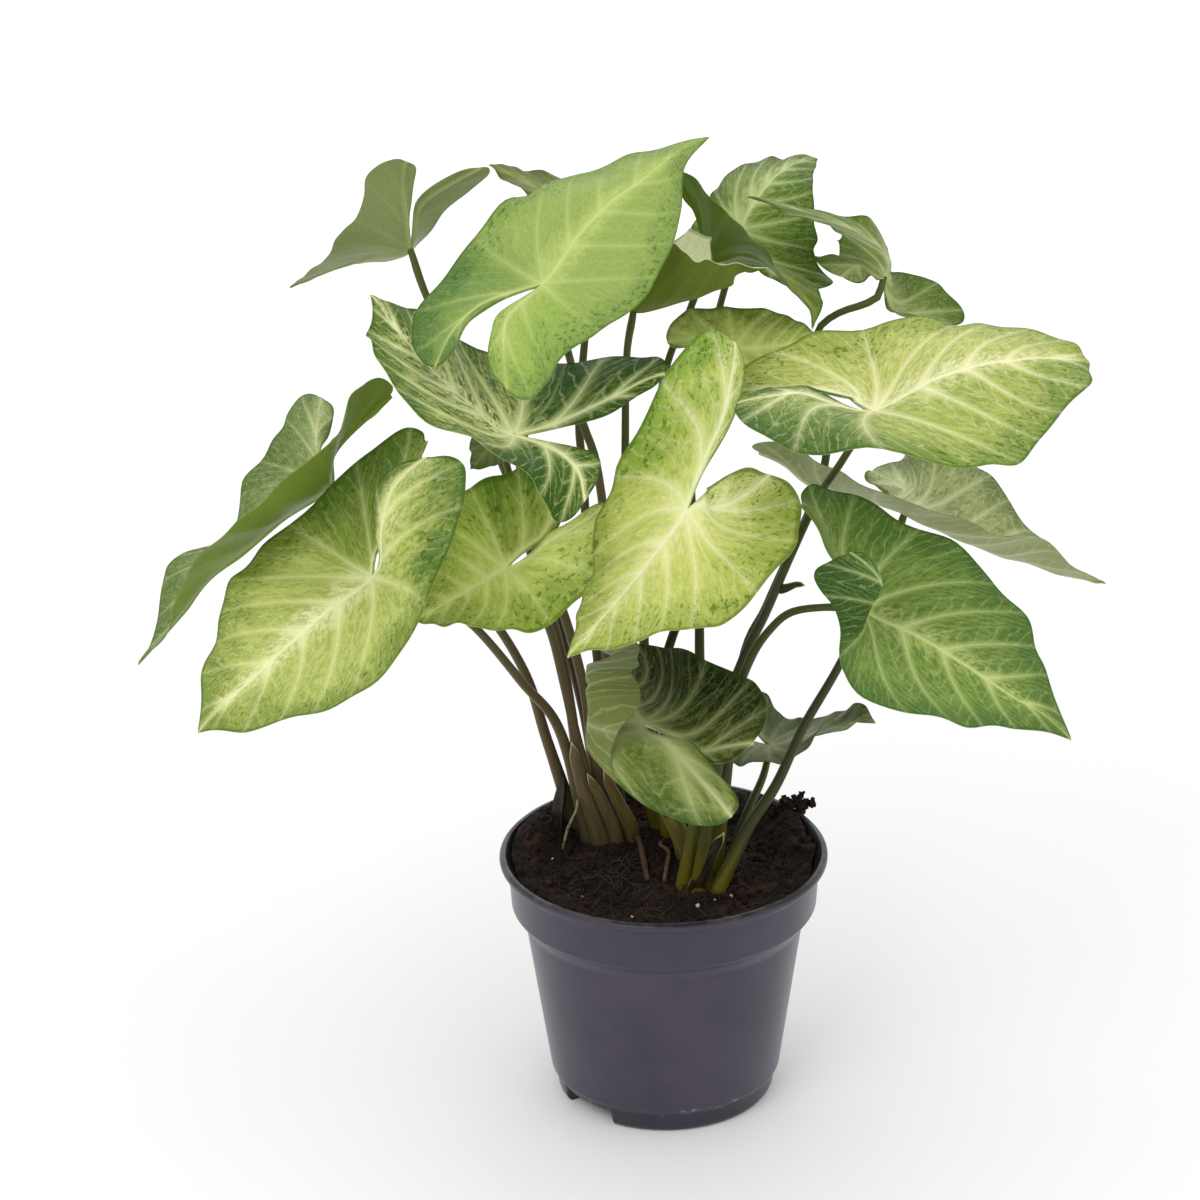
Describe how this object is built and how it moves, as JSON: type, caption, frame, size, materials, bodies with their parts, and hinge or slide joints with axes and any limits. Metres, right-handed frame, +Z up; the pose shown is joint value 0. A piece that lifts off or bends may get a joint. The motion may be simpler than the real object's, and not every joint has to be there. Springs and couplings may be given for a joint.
{
  "type": "arrowhead plant",
  "caption": "Leafy pot plant: arrowhead-shaped variegated leaves on slender stalks rise from crowns rooted in soil in a round tapered nursery pot.",
  "frame": {"origin": "middle of the pot's flat bottom, where it stands on a surface", "axes": "+Z up; +X to the plant's right and -Y its front, seen from where it looks fullest"},
  "size_m": [0.3435, 0.2299, 0.3554],
  "materials": {
    "pot_plastic": "satin moulded polypropylene",
    "potting_soil": "damp peat, matt and crumbly",
    "crown_stem": "ringed green-brown stem",
    "stalk_skin": "smooth waxy skin, satin",
    "root_skin": "dull corky skin",
    "dried_sheath": "dry and papery",
    "pale_blade": "waxy leaf, satin, yellow-green with cream veins",
    "green_blade": "waxy leaf, satin, variegated green",
    "dark_blade": "waxy leaf, satin, dark green with pale veins"
  },
  "bodies": {
    "root": {"pot": "pot_plastic", "soil": "potting_soil", "left_crown": "crown_stem", "middle_crown": "crown_stem", "right_crown": "crown_stem", "top_leaf_blade": "pale_blade", "top_leaf_stalk": "stalk_skin", "upper_left_leaf_blade": "green_blade", "upper_left_leaf_stalk": "stalk_skin", "tucked_leaf_blade": "green_blade", "tucked_leaf_stalk": "stalk_skin", "cream_leaf_blade": "pale_blade", "cream_leaf_stalk": "stalk_skin", "left_leaf_blade": "pale_blade", "left_leaf_stalk": "stalk_skin", "folded_left_leaf_blade": "green_blade", "folded_left_leaf_stalk": "stalk_skin", "middle_left_leaf_blade": "pale_blade", "middle_left_leaf_stalk": "stalk_skin", "young_leaf_blade": "green_blade", "young_leaf_stalk": "stalk_skin", "behind_top_leaf_blade": "green_blade", "behind_top_leaf_stalk": "stalk_skin", "back_right_leaf_blade": "green_blade", "back_right_leaf_stalk": "stalk_skin", "drooping_leaf_blade": "dark_blade", "drooping_leaf_stalk": "stalk_skin", "curled_leaf_blade": "green_blade", "curled_leaf_stalk": "stalk_skin", "sheltered_leaf_blade": "green_blade", "sheltered_leaf_stalk": "stalk_skin", "right_leaf_blade": "pale_blade", "right_leaf_stalk": "stalk_skin", "folded_right_leaf_blade": "green_blade", "folded_right_leaf_stalk": "stalk_skin", "front_leaf_blade": "pale_blade", "front_leaf_stalk": "stalk_skin", "lower_right_leaf_blade": "dark_blade", "lower_right_leaf_stalk": "stalk_skin", "low_front_leaf_blade": "dark_blade", "low_front_leaf_stalk": "stalk_skin", "low_right_leaf_blade": "dark_blade", "low_right_leaf_stalk": "stalk_skin", "aerial_root": "root_skin", "stub_root": "root_skin", "hooked_root": "root_skin", "papery_sheath": "dried_sheath", "peat_lump": "potting_soil"}
  },
  "joints": []
}
